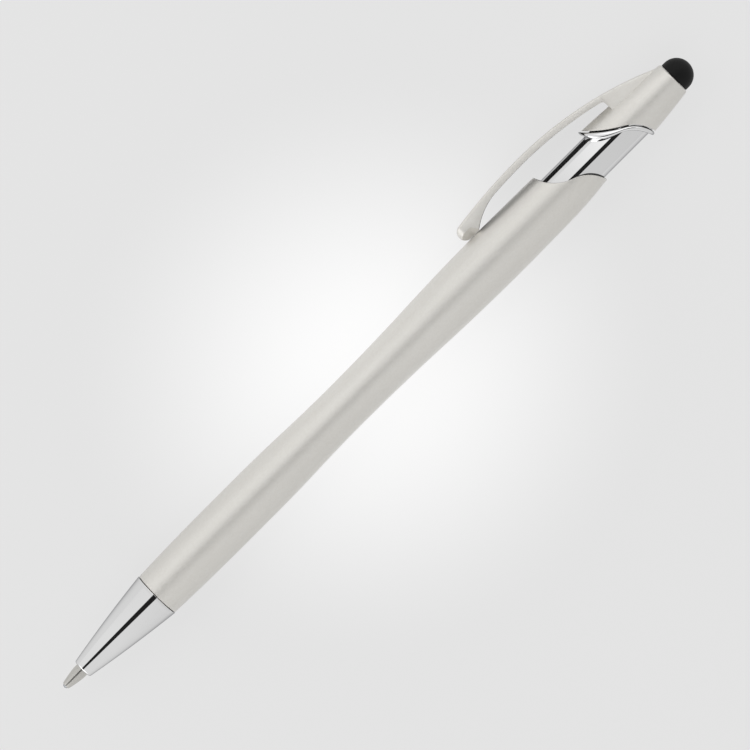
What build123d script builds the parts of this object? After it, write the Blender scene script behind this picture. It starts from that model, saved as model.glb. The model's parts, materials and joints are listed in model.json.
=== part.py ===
"""A retractable ballpoint pen with a touch-screen tip at its other end.

The pen lies on a table the way it comes to rest: on the thickest part of its
barrel and on the edge of its clip. Millimetres, +Z up, +X from the writing tip
to the touch-screen tip, origin on the table under the middle of the pen.
Stations are distances from the writing tip along the pen, with the tip out.
"""

from build123d import *
from math import asin, atan2, cos, hypot, pi, radians, sin, tan
import os

# Clearances and cuts
running_gap = 0.06
passing_gap = 0.15
seat_gap = 0.02
seam_gap = 0.12
overrun = 1.0

# Ball point and refill
ball_diameter = 1.0
ball_gap = 0.015
ball_showing_share = 0.36
point_rim_wall = 0.13
point_diameter = 2.3
point_taper_length = 2.9
point_bulge = 0.05
point_margin = 0.7
point_spigot_length = 4.0
point_feed_diameter = 0.5
point_channel_diameter = 1.1
point_seat_length = 0.5
refill_diameter = 3.0
refill_wall = 0.55
ink_share = 0.86
ear_margin = 5.05
ear_reach = 0.55
ear_width = 1.3
ear_thickness = 0.9

# Nose cone
tip_reach = 4.1
nose_length = 16.75
nose_end_wall = 0.4
nose_lip = 0.07
nose_bulge = 0.15
nose_end_round = 0.3
nose_throat_length = 3.4
nose_throat_gap = 0.1
nose_room_length = 4.0
spigot_length = 5.1
spigot_wall = 0.62

# Return spring
wire_diameter = 0.35
spring_gap = 0.175
spring_turns = 9

# Barrel: stretches from the nose to the wavy mouth, and walls over the bores
front_to_grip = 15.0
grip_length = 7.0
grip_to_waist = 20.4
waist_to_head = 35.1
head_to_shoulder = 11.5
shoulder_to_mouth = 8.0
front_wall = 0.64
grip_rise = 0.285
waist_wall = 1.0
head_wall = 1.22
shoulder_wall = 1.09
mouth_wall = 0.44
bush_length = 6.5
bush_wall = 0.5

# Waves that cut the barrel's mouth, the trim ring and the cap
wave_length = 8.0
wave_half_height = 4.2
wave_middle_share = 0.53
wave_end_angle = 70.0
ring_back_angle = 47.0

# Plunger: chrome tube, trim ring and cap
tube_wall = 0.5
neck_length = 9.95
ring_top_width = 0.4
ring_middle_width = 1.5
ring_bottom_width = 0.6
ring_proud = 0.16
ring_gap = 0.25
cap_length = 16.08
cap_front_wall = 1.05
cap_back_wall = 1.1
cap_lead_angle = 1.5
cap_edge_round = 0.35

# Clip, moulded in one with the cap; its lengths count from the cap's back end
clip_length = 42.0
clip_crown_share = 0.633
clip_root_share = 0.248
clip_fin_share = 0.017
foot_share = 0.076
flank_share = 0.148
clip_rise = 1.0
clip_thickness = 1.15
clip_root_rise = 1.9
clip_root_drop = 0.95
clip_root_width = 5.0
clip_tip_width = 0.6
clip_slot_round = 0.6
clip_fin_sink = 0.05
clip_edge_round = 0.4
foot_width = 3.8
foot_height = 2.62
foot_gap = 0.1

# Touch-screen tip
dome_diameter = 5.46
dome_skirt = 0.67
dome_wall = 0.7
holder_stem_diameter = 3.8
holder_stem_length = 6.4
holder_flange_diameter = 5.7
holder_flange_length = 0.8
holder_neck_diameter = 2.2
holder_neck_length = 0.9
holder_head_share = 0.74
holder_head_length_share = 0.4

# Click mechanism
travel_out = 5.0
travel_in = 1.2
stop_gap = 1.8
cam_count = 3
cam_setback = 14.0
cam_flange_length = 3.0
cam_spigot_length = 2.5
cam_body_length = 17.5
cam_wall = 0.4
cam_spigot_wall = 0.53
cam_gap = 0.5
spline_gap = 0.1
spline_depth = 0.4
spline_angle = 50.0
rotor_setback = 9.0
rotor_length = 6.0
rotor_wall = 0.33
rotor_socket_depth = 3.0
rotor_rib_length = 3.0
rotor_rib_angle = 44.0
rotor_rib_drop = 1.5
push_rib_angle = 60.0
push_bore_diameter = 2.0
crown_count = 6
crown_depth = 0.45

# Radii, from the refill outwards
ball_radius = ball_diameter / 2
point_radius = point_diameter / 2
refill_radius = refill_diameter / 2
refill_bore_radius = refill_radius - refill_wall
wire_radius = wire_diameter / 2
coil_radius = refill_radius + spring_gap + wire_radius
chamber_radius = coil_radius + wire_radius + passing_gap
spigot_radius = chamber_radius + spigot_wall
bush_radius = spigot_radius + running_gap + bush_wall
front_radius = bush_radius + seat_gap + front_wall
grip_radius = front_radius + grip_rise
nose_back_radius = front_radius + nose_lip
nose_end_radius = point_radius + nose_throat_gap + nose_end_wall
rotor_radius = refill_radius + seat_gap + rotor_wall
spline_radius = rotor_radius + spline_gap
cam_bore_radius = spline_radius + spline_depth
cam_radius = cam_bore_radius + cam_wall
rib_radius = cam_bore_radius - passing_gap
barrel_bore_radius = cam_bore_radius + cam_spigot_wall + seat_gap
tube_inner_radius = cam_radius + passing_gap
tube_radius = tube_inner_radius + tube_wall
slide_bore_radius = tube_radius + running_gap
waist_radius = barrel_bore_radius + waist_wall
head_radius = slide_bore_radius + head_wall
shoulder_radius = slide_bore_radius + shoulder_wall
mouth_radius = slide_bore_radius + mouth_wall
holder_stem_radius = holder_stem_diameter / 2
holder_flange_radius = holder_flange_diameter / 2
holder_neck_radius = holder_neck_diameter / 2
dome_radius = dome_diameter / 2
hollow_radius = dome_radius - dome_wall
holder_head_radius = hollow_radius * holder_head_share
holder_head_length = hollow_radius * holder_head_length_share
cap_front_radius = tube_radius + cap_front_wall
cap_back_radius = holder_stem_radius + cap_back_wall

# Stations of the nose and the barrel
throat_back = tip_reach + nose_throat_length
chamber_front = throat_back + nose_room_length
nose_back = tip_reach + nose_length
spigot_back = nose_back + spigot_length
barrel_front = nose_back + seam_gap
bush_back = barrel_front + bush_length
grip_start = barrel_front + front_to_grip
grip_end = grip_start + grip_length
waist = grip_end + grip_to_waist
head = waist + waist_to_head
shoulder = head + head_to_shoulder
barrel_back = shoulder + shoulder_to_mouth
barrel_wave = barrel_back - wave_length
barrel_wave_middle = barrel_wave + wave_length * wave_middle_share

# Stations of the cap, the clip and the touch-screen tip
ring_wave = barrel_wave + neck_length
ring_middle = ring_wave + wave_length * wave_middle_share
ring_bottom = ring_wave + wave_length
cap_back = ring_wave + ring_top_width + ring_gap + cap_length
pen_length = cap_back + dome_skirt + dome_radius
clip_crown = cap_back - clip_length * clip_crown_share
clip_root = cap_back - clip_length * clip_root_share
clip_fin = cap_back - clip_length * clip_fin_share
foot_front = cap_back - clip_length
foot_back = foot_front + clip_length * foot_share
flank = foot_back + clip_length * flank_share
flange_back = cap_back - holder_stem_length
flange_front = flange_back - holder_flange_length

# Stations of the click mechanism and the refill
cam_shoulder = barrel_wave - cam_setback
cam_front = cam_shoulder - cam_spigot_length
cam_flange_end = cam_shoulder + cam_flange_length
cam_back = cam_flange_end + cam_body_length
rotor_front = barrel_wave - rotor_setback
rotor_back = rotor_front + rotor_length
rib_top = rotor_back - rotor_rib_drop
push_front = rotor_back + crown_depth
push_head_front = cam_back + travel_in + stop_gap
tube_front = cam_flange_end + travel_in + stop_gap
tube_back = flange_front - seat_gap
point_back = throat_back + travel_in + point_margin
refill_back = rotor_front + rotor_socket_depth
ear_front = spigot_back + ear_margin

# Slope of the cam ends: a rotor rib that turns half a step climbs the whole stroke
half_step = radians(180 / cam_count)
cam_slope = travel_out / (half_step * (rotor_radius + rib_radius) / 2)

# Heights of the clip over the pen's axis
foot_bottom = head_radius + foot_gap
foot_top = foot_bottom + foot_height
clip_reach = foot_top + clip_rise
inner_crown = clip_reach - clip_thickness
clip_root_height = cap_front_radius + clip_root_rise
clip_fin_height = cap_back_radius - clip_fin_sink

# Resting pose: the clip's rounded edge and the barrel's head touch the table together
crown_share = (clip_root - clip_crown) / (clip_root - foot_front + overrun)
crown_half_width = (clip_root_width + (foot_width - clip_root_width) * crown_share) / 2
edge_reach = clip_reach - clip_edge_round
edge_half = crown_half_width - clip_edge_round
edge_lift = asin((head_radius - clip_edge_round) / hypot(edge_reach, edge_half))
roll = edge_lift - atan2(edge_half, edge_reach)
clip_side_reach = edge_reach * cos(roll) + edge_half * sin(roll) + clip_edge_round
axis_y = (head_radius - clip_side_reach) / 2
tip = (-pen_length / 2, axis_y, head_radius)
side = Plane(origin=tip, x_dir=(1, 0, 0), z_dir=(0, sin(roll), cos(roll)))
plan = Plane(origin=tip, x_dir=side.x_dir, z_dir=side.y_dir)
pen_axis = Axis(tip, side.x_dir)


def section(station):
    """Plane across the pen at a station: its x points to the clip, and it faces the cap."""
    centre = side.from_local_coords((station, 0, 0))
    return Plane(origin=centre, x_dir=side.y_dir, z_dir=side.x_dir)


def band(start, end, inner, outer, mode=Mode.ADD):
    """Rectangle of a turned profile between two stations and two radii."""
    with Locations(((start + end) / 2, (inner + outer) / 2)):
        Rectangle(end - start, outer - inner, mode=mode)


def sector(inner, outer, angle):
    """Ring sector of a cross section, centred on the clip's direction."""
    half = radians(angle) / 2
    inner_start = (inner * cos(half), -inner * sin(half))
    inner_end = (inner * cos(half), inner * sin(half))
    outer_start = (outer * cos(half), -outer * sin(half))
    outer_end = (outer * cos(half), outer * sin(half))
    with BuildSketch(Plane.XY) as shape:
        with BuildLine():
            Line(inner_start, outer_start)
            ThreePointArc(outer_start, (outer, 0), outer_end)
            Line(outer_end, inner_end)
            ThreePointArc(inner_end, (inner, 0), inner_start)
        make_face()
    return shape.sketch


def ramp(station, far):
    """Plan of a slanted cam end through a station, filled as far as another station."""
    lift = cam_slope * cam_bore_radius
    high = (station - lift, cam_bore_radius)
    low = (station + lift, -cam_bore_radius)
    with BuildSketch(Plane.XY) as shape:
        Polygon(high, low, (far, -cam_bore_radius), (far, cam_bore_radius), align=None)
    return shape.sketch


def s_bend(start, end):
    """Two equal arcs from one station and radius to another, level at both ends."""
    middle = ((start[0] + end[0]) / 2, (start[1] + end[1]) / 2)
    TangentArc(start, middle, tangent=(1, 0))
    TangentArc(end, middle, tangent=(-1, 0))


def beyond_wave(clip_side, on_axis, far_side, end_angle):
    """Side view of all that lies past a wave through stations on the clip's side, the axis and the far side."""
    lead = radians(end_angle)
    top = (clip_side, wave_half_height)
    middle = (on_axis, 0)
    bottom = (far_side, -wave_half_height)
    above = (clip_side - head_radius / tan(lead), wave_half_height + head_radius)
    below = (far_side + head_radius / tan(lead), -above[1])
    far = pen_length + overrun
    with BuildSketch(Plane.XY) as shape:
        with BuildLine():
            Line(above, top)
            crest = TangentArc(top, middle, tangent=(cos(lead), -sin(lead)))
            TangentArc(middle, bottom, tangent=crest % 1)
            Polyline(bottom, below, (far, below[1]), (far, above[1]), above)
        make_face()
    return shape.sketch


def cap_outline(proud):
    """Turned profile of the cap, swelled by a height, one arc from front to back."""
    lead = radians(cap_lead_angle)
    front = (ring_wave - overrun, cap_front_radius + proud)
    back = (cap_back, cap_back_radius + proud)
    with BuildSketch(Plane.XY) as shape:
        with BuildLine():
            TangentArc(front, back, tangent=(cos(lead), -sin(lead)))
            Polyline(back, (cap_back, 0), (front[0], 0), front)
        make_face()
    return shape.sketch


past_barrel = beyond_wave(barrel_wave, barrel_wave_middle, barrel_back, wave_end_angle)
past_neck = beyond_wave(ring_wave, ring_middle, ring_bottom, wave_end_angle)
past_ring = beyond_wave(
    ring_wave + ring_top_width, ring_middle + ring_middle_width, ring_bottom + ring_bottom_width, ring_back_angle
)
past_seam = offset(past_ring, -ring_gap)
cap_profile = cap_outline(0)
ring_profile = cap_outline(ring_proud)

# Ball of the writing point
with BuildPart(side) as writing_ball:
    with Locations((ball_radius, 0)):
        Sphere(ball_radius)
writing_ball.part.label = "writing_ball"

# Turned point that holds the ball, pressed into the refill tube
rim_station = ball_diameter * ball_showing_share
taper_end = rim_station + point_taper_length
point_spigot_back = point_back + point_spigot_length
feed_end = ball_diameter + point_seat_length
with BuildPart() as refill_point:
    with BuildSketch(side):
        with BuildLine():
            rim = (rim_station, ball_radius + point_rim_wall)
            shank = (taper_end, point_radius)
            Line((rim_station, 0), rim)
            SagittaArc(rim, shank, point_bulge)
            Polyline(shank, (point_back, point_radius), (point_back, 0), (rim_station, 0))
        make_face()
        band(point_back, point_spigot_back, 0, refill_bore_radius - seat_gap)
        band(ball_radius, feed_end, 0, point_feed_diameter / 2, mode=Mode.SUBTRACT)
        band(feed_end, point_spigot_back, 0, point_channel_diameter / 2, mode=Mode.SUBTRACT)
        with Locations((ball_radius, 0)):
            Circle(ball_radius + ball_gap, mode=Mode.SUBTRACT)
    revolve(axis=pen_axis)
refill_point.part.label = "refill_point"

# Refill tube with the two ears that the spring pushes on
with BuildPart() as refill_tube:
    with BuildSketch(side):
        band(point_back, refill_back, refill_bore_radius, refill_radius)
    revolve(axis=pen_axis)
    with BuildSketch(section(ear_front)):
        Rectangle(2 * (refill_radius + ear_reach), ear_width)
        Circle((refill_radius + refill_bore_radius) / 2, mode=Mode.SUBTRACT)
    extrude(amount=ear_thickness)
refill_tube.part.label = "refill_tube"

# Ink in the tube, with air behind it
with BuildPart() as ink_column:
    with BuildSketch(side):
        ink_front = point_spigot_back + seat_gap
        ink_length = (rotor_front - ink_front) * ink_share
        band(ink_front, ink_front + ink_length, 0, refill_bore_radius - seat_gap)
    revolve(axis=pen_axis)
ink_column.part.label = "ink_column"

# Nose cone with its throat, spring chamber and screw spigot
with BuildPart() as nose_cone:
    with BuildSketch(side):
        with BuildLine():
            nose_end = (tip_reach, nose_end_radius)
            nose_rim = (nose_back, nose_back_radius)
            Line((tip_reach, 0), nose_end)
            SagittaArc(nose_end, nose_rim, nose_bulge)
            Polyline(nose_rim, (nose_back, 0), (tip_reach, 0))
        make_face()
        band(nose_back, spigot_back, 0, spigot_radius)
        band(tip_reach, throat_back, 0, point_radius + nose_throat_gap, mode=Mode.SUBTRACT)
        band(throat_back, chamber_front, 0, refill_radius + passing_gap, mode=Mode.SUBTRACT)
        band(chamber_front, spigot_back, 0, chamber_radius, mode=Mode.SUBTRACT)
    revolve(axis=pen_axis)
    fillet(nose_cone.edges().group_by(pen_axis)[0].sort_by(SortBy.RADIUS)[-1], nose_end_round)
nose_cone.part.label = "nose_cone"

# Return spring between the nose's chamber and the refill's ears
coil_front = chamber_front + wire_radius + seat_gap
coil_length = ear_front - wire_radius - seat_gap - coil_front
coil_pitch = coil_length / spring_turns
with BuildPart() as return_spring:
    with BuildLine() as coil:
        coil_start = side.from_local_coords((coil_front, 0, 0))
        Helix(coil_pitch, coil_length, coil_radius, center=coil_start, direction=side.x_dir)
    with BuildSketch(Plane(origin=coil.line @ 0, z_dir=coil.line % 0)):
        Circle(wire_radius)
    sweep()
return_spring.part.label = "return_spring"
print("least gap between spring turns, mm:", round(coil_pitch - wire_diameter, 2))

# Threaded bush in the barrel's front, which the nose screws into
with BuildPart() as thread_bush:
    with BuildSketch(side):
        band(barrel_front, bush_back, spigot_radius + running_gap, bush_radius)
    revolve(axis=pen_axis)
thread_bush.part.label = "thread_bush"

# Barrel: turned outside, bored from both ends, cut by the wave at its mouth
with BuildPart() as barrel:
    with BuildSketch(side):
        with BuildLine():
            front_rim = (barrel_front, front_radius)
            grip_front = (grip_start, grip_radius)
            grip_back = (grip_end, grip_radius)
            waist_point = (waist, waist_radius)
            head_point = (head, head_radius)
            shoulder_point = (shoulder, shoulder_radius)
            mouth_rim = (barrel_back, mouth_radius)
            TangentArc(grip_front, front_rim, tangent=(-1, 0))
            Line(grip_front, grip_back)
            s_bend(grip_back, waist_point)
            s_bend(waist_point, head_point)
            brow = TangentArc(head_point, shoulder_point, tangent=(1, 0))
            TangentArc(shoulder_point, mouth_rim, tangent=brow % 1)
            Polyline(mouth_rim, (barrel_back, 0), (barrel_front, 0), front_rim)
        make_face()
        band(barrel_front, bush_back, 0, bush_radius + seat_gap, mode=Mode.SUBTRACT)
        band(bush_back, cam_shoulder, 0, barrel_bore_radius, mode=Mode.SUBTRACT)
        band(cam_shoulder, barrel_back, 0, slide_bore_radius, mode=Mode.SUBTRACT)
    revolve(axis=pen_axis)
    with BuildSketch(side):
        add(past_barrel)
    extrude(amount=head_radius + overrun, both=True, mode=Mode.SUBTRACT)
barrel.part.label = "barrel"

# One spline of the cam sleeve, slanted at its front end where it stops the rotor
spline_section = sector(spline_radius, cam_bore_radius + seat_gap, spline_angle)
spline_ramp = ramp(rib_top + cam_gap, cam_front)
with BuildPart() as spline:
    with BuildSketch(section(rotor_front)):
        add(spline_section)
    extrude(amount=cam_back - rotor_front)
    with BuildSketch(plan):
        add(spline_ramp)
    extrude(amount=cam_radius, mode=Mode.SUBTRACT)

# Cam sleeve: seated on the barrel's shoulder, with splines that guide the push cam
with BuildPart() as cam_sleeve:
    with BuildSketch(side):
        band(cam_front, cam_shoulder, cam_bore_radius, barrel_bore_radius - seat_gap)
        band(cam_shoulder, cam_flange_end, cam_bore_radius, slide_bore_radius - seat_gap)
        band(cam_flange_end, cam_back, cam_bore_radius, cam_radius)
    revolve(axis=pen_axis)
    for index in range(cam_count):
        add(spline.part.rotate(pen_axis, 360 / cam_count * index))
cam_sleeve.part.label = "cam_sleeve"

# One rib of the rotor, slanted like the spline's end that it stops on
rib_section = sector(rotor_radius - seat_gap, rib_radius, rotor_rib_angle)
rib_ramp = ramp(rib_top, cam_back)
with BuildPart() as rotor_rib:
    with BuildSketch(section(rib_top - rotor_rib_length)):
        add(rib_section)
    extrude(amount=rotor_rib_length * 2)
    with BuildSketch(plan):
        add(rib_ramp)
    extrude(amount=cam_radius, mode=Mode.SUBTRACT)

# Rotor: the refill's tail sits in its socket, and its crown faces the push cam
with BuildPart() as rotor_cam:
    with BuildSketch(side):
        band(rotor_front, rotor_back, 0, rotor_radius)
        band(rotor_front, refill_back + seat_gap, 0, refill_radius + seat_gap, mode=Mode.SUBTRACT)
    revolve(axis=pen_axis)
    for index in range(cam_count):
        add(rotor_rib.part.rotate(pen_axis, 360 / cam_count * index))
rotor_cam.part.label = "rotor_cam"

# One rib of the push cam, which slides between two splines
rib_rise = cam_slope * rib_radius * sin(radians(rotor_rib_angle) / 2)
push_rib_front = rib_top + rib_rise + cam_gap
push_section = sector(rotor_radius - seat_gap, rib_radius, push_rib_angle)
with BuildPart() as push_rib:
    with BuildSketch(section(push_rib_front)):
        add(push_section)
    extrude(amount=push_head_front - push_rib_front)

# One pair of notches of the push cam's crown
half_notch = rotor_radius * tan(pi / crown_count)
with BuildPart() as notch:
    with BuildSketch(side):
        notch_root = (push_front + crown_depth, 0)
        Polygon((push_front, -half_notch), notch_root, (push_front, half_notch), align=None)
    extrude(amount=rib_radius, both=True)

# Push cam: stem with a toothed crown, guide ribs, and a head that plugs the chrome tube
with BuildPart() as push_cam:
    with BuildSketch(side):
        band(push_front, push_head_front, push_bore_diameter / 2, rotor_radius)
        band(push_head_front, tube_back, push_bore_diameter / 2, tube_inner_radius - seat_gap)
    revolve(axis=pen_axis)
    for index in range(cam_count):
        add(push_rib.part.rotate(pen_axis, 360 / cam_count * (index + 1 / 2)))
        add(notch.part.rotate(pen_axis, 180 / cam_count * index), mode=Mode.SUBTRACT)
push_cam.part.label = "push_cam"

# Chrome tube of the plunger
with BuildPart() as plunger_tube:
    with BuildSketch(side):
        band(tube_front, tube_back, tube_inner_radius, tube_radius)
    revolve(axis=pen_axis)
plunger_tube.part.label = "plunger_tube"

# Chrome trim ring along the cap's wavy edge
with BuildPart() as trim_ring:
    with BuildSketch(side):
        add(ring_profile)
        band(ring_wave - overrun, cap_back, 0, tube_radius + seat_gap, mode=Mode.SUBTRACT)
    revolve(axis=pen_axis)
    with BuildSketch(side):
        add(past_neck)
    extrude(amount=head_radius + overrun, both=True, mode=Mode.INTERSECT)
    with BuildSketch(side):
        add(past_ring)
    extrude(amount=head_radius + overrun, both=True, mode=Mode.SUBTRACT)
trim_ring.part.label = "trim_ring"

# Clip blank: arched in side view, and leaf-shaped in plan with a round foot
toe = foot_front + foot_height / 2
sole_front = toe + foot_height * clip_rise / (clip_crown - toe)
flank_reach_share = (clip_crown - flank) / (clip_crown - toe)
flank_height = inner_crown - clip_rise * flank_reach_share**2
with BuildPart() as clip:
    with BuildSketch(side):
        with BuildLine():
            crown = (clip_crown, clip_reach)
            inner = (clip_crown, inner_crown)
            back_arc = TangentArc(crown, (clip_root, clip_root_height), tangent=(1, 0))
            fin_arc = TangentArc(back_arc @ 1, (clip_fin, clip_fin_height), tangent=back_arc % 1)
            front_arc = TangentArc(crown, (toe, foot_top), tangent=(-1, 0))
            toe_arc = TangentArc(front_arc @ 1, (sole_front, foot_bottom), tangent=front_arc % 1)
            sole = Line(toe_arc @ 1, (foot_back, foot_bottom))
            inner_arc = TangentArc(inner, (flank, flank_height), tangent=(-1, 0))
            TangentArc(inner_arc @ 1, sole @ 1, tangent=inner_arc % 1)
            slot_end = (clip_root - clip_slot_round, clip_root_height - clip_root_drop)
            slot_arc = TangentArc(inner, slot_end, tangent=(1, 0))
            end_arc = TangentArc(slot_end, (clip_root, slot_end[1] - clip_slot_round), tangent=slot_arc % 1)
            Polyline(end_arc @ 1, (clip_root, tube_inner_radius), (clip_fin, holder_stem_radius), fin_arc @ 1)
        make_face()
    extrude(amount=clip_root_width, both=True)
    with BuildSketch(plan):
        with BuildLine():
            toe_half = (foot_front - overrun, foot_width / 2)
            root_half = (clip_root, clip_root_width / 2)
            tip_half = (clip_fin + overrun, clip_tip_width / 2)
            flank_line = Line(toe_half, root_half)
            TangentArc(root_half, tip_half, tangent=flank_line % 1)
            Line((toe_half[0], 0), toe_half)
            Line(tip_half, (tip_half[0], 0))
            mirror(about=Plane.XZ)
        make_face()
    extrude(amount=clip_reach + overrun, mode=Mode.INTERSECT)
    outer_edges = clip.edges().filter_by(GeomType.ELLIPSE).sort_by(Axis(tip, side.y_dir))
    fillet(outer_edges[-2:], clip_edge_round)

# Cap with the clip, bored for the chrome tube and the holder of the touch-screen tip
with BuildPart() as cap:
    with BuildSketch(side):
        add(cap_profile)
    revolve(axis=pen_axis)
    fillet(cap.edges().group_by(pen_axis)[-1], cap_edge_round)
    with BuildSketch(side):
        add(past_seam)
    extrude(amount=head_radius + overrun, both=True, mode=Mode.INTERSECT)
    add(clip.part)
    with BuildSketch(side):
        band(ring_wave, flange_front, 0, tube_radius + seat_gap)
        band(flange_front, flange_back + seat_gap, 0, holder_flange_radius + seat_gap)
        band(flange_back, cap_back + overrun, 0, holder_stem_radius + seat_gap)
    revolve(axis=pen_axis, mode=Mode.SUBTRACT)
cap.part.label = "cap"

# Holder that carries the rubber tip and joins it to the chrome tube
neck_back = cap_back + holder_neck_length
with BuildPart() as stylus_holder:
    with BuildSketch(side):
        band(flange_front, flange_back, 0, holder_flange_radius)
        band(flange_back, cap_back, 0, holder_stem_radius)
        band(cap_back, neck_back, 0, holder_neck_radius)
        band(neck_back, neck_back + holder_head_length, 0, holder_head_radius)
    revolve(axis=pen_axis)
stylus_holder.part.label = "stylus_holder"

# Hollow rubber dome that snaps over the holder's head
dome_centre = pen_length - dome_radius
dome_base = cap_back + seat_gap
web_back = neck_back - seat_gap
with BuildPart() as stylus_dome:
    with BuildSketch(side):
        with BuildLine():
            dome_rim = (dome_centre, dome_radius)
            TangentArc(dome_rim, (pen_length, 0), tangent=(1, 0))
            Polyline(dome_rim, (dome_base, dome_radius), (dome_base, 0), (pen_length, 0))
        make_face()
        with Locations((dome_centre, 0)):
            Circle(hollow_radius, mode=Mode.SUBTRACT)
        band(dome_base, web_back, holder_neck_radius + seat_gap, hollow_radius)
        band(dome_base, web_back, 0, holder_neck_radius + seat_gap, mode=Mode.SUBTRACT)
    revolve(axis=pen_axis)
stylus_dome.part.label = "stylus_dome"

pieces = [
    writing_ball, refill_point, refill_tube, ink_column, nose_cone, return_spring, thread_bush, barrel,
    cam_sleeve, rotor_cam, push_cam, plunger_tube, trim_ring, cap, stylus_holder, stylus_dome,
]
os.makedirs("parts", exist_ok=True)
for piece in pieces:
    export_step(piece.part, f"parts/{piece.part.label}.step")
print("length", round(pen_length, 2), "axis y", round(axis_y, 3), "roll", round(roll * 180 / pi, 3))
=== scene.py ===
"""Looks of a retractable ballpoint pen with a rubber touch-screen tip at its back.

Lengths are in metres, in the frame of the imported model. A station is a distance
from the writing tip along the pen. Each piece that shows is a surface worked out
on a grid; the works inside keep their solids and get a finish.
"""

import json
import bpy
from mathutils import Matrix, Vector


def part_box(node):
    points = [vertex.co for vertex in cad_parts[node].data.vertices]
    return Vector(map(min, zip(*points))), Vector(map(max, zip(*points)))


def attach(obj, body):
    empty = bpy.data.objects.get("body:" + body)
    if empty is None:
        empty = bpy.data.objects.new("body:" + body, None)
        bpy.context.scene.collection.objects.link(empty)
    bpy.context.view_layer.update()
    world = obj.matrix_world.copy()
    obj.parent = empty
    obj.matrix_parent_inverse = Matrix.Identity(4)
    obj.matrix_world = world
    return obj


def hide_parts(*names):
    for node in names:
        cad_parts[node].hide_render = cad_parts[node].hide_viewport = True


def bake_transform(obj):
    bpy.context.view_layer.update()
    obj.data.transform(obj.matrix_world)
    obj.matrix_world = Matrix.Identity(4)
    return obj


bl_info = {
    "name": "Stylus pen",
    "version": (1, 0, 0),
    "blender": (4, 5, 0),
    "location": "3D View > Sidebar > Pen",
    "description": "Builds the pieces, the finishes and the stage of a stylus pen",
    "category": "Object",
}

from math import radians

import bmesh
import bpy
import numpy as np
from mathutils import Matrix

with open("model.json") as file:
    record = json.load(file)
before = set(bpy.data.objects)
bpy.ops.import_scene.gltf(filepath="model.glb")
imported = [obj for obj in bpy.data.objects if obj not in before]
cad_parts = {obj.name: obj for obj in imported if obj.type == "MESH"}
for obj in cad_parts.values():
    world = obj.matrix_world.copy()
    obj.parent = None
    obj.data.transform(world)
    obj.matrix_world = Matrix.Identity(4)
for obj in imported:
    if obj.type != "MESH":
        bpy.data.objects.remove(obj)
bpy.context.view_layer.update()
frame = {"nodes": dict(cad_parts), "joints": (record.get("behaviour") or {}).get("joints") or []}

MM = 0.001
# Points round the pen, on an arc and on a rounded corner, and rows that slide up to a wavy edge
AROUND = 128
ON_ARC = 32
ON_CORNER = 6
TO_WAVE = 28
# Power that makes the bow of a sine fuller, for the thread and the trim ring's bead
FULLER = 0.8
# Angle between faces from which their edge stays sharp
CREASE = radians(30)
# Depth of the finishes' grain, flakes and tool marks
RELIEF = 0.02 * MM


def linear(code):
    """Linear light of an sRGB hex colour: each channel over 255, with the sRGB curve undone."""
    channel = np.array([int(code[place:place + 2], 16) for place in (1, 3, 5)]) / 255
    light = np.where(channel <= 0.04045, channel / 12.92, ((channel + 0.055) / 1.055) ** 2.4)
    return tuple(light.tolist())


def length(name, description, millimetres):
    """Property for a length, with its default given in millimetres."""
    return bpy.props.FloatProperty(
        name=name, description=description, default=millimetres * MM, unit="LENGTH", precision=5
    )


def turn(name, description, degrees):
    """Property for an angle, with its default given in degrees."""
    return bpy.props.FloatProperty(
        name=name, description=description, default=radians(degrees), unit="ROTATION"
    )


def level(name, description, value):
    """Property for a level of light, or for a share."""
    return bpy.props.FloatProperty(name=name, description=description, default=value, min=0)


def colour(name, description, code):
    """Property for a colour, with its default given as sRGB hex."""
    return bpy.props.FloatVectorProperty(
        name=name, description=description, default=linear(code), subtype="COLOR", min=0, max=1
    )


class NoseSizes(bpy.types.PropertyGroup):
    """Sizes of the nose cone."""

    front: length("Front", "Station of the cone's front end", 4.1)
    back: length("Back", "Station of the cone's back rim", 20.85)
    spigot_back: length("Spigot back", "Station of the screw spigot's end", 25.95)
    throat_back: length("Throat back", "Station where the throat opens", 7.5)
    chamber_front: length("Chamber front", "Station where the spring chamber starts", 11.5)
    end_radius: length("End radius", "Radius of the cone's front end", 1.65)
    back_radius: length("Back radius", "Radius of the cone's back rim", 4.085)
    bulge: length("Bulge", "Height of the cone's side over a straight line", 0.15)
    end_round: length("End round", "Rounding of the cone's front edge", 0.3)
    rim_round: length("Rim round", "Rounding of the cone's back edge", 0.06)
    throat_radius: length("Throat radius", "Radius of the hole for the point", 1.25)
    room_radius: length("Room radius", "Radius of the bore behind the throat", 1.65)
    chamber_radius: length("Chamber radius", "Radius of the spring chamber", 2.175)
    spigot_radius: length("Spigot radius", "Radius over the thread's crests", 2.795)
    thread_pitch: length("Thread pitch", "Advance of the nose in one turn", 1.0)
    thread_depth: length("Thread depth", "Depth of the thread's valleys", 0.24)


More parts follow.
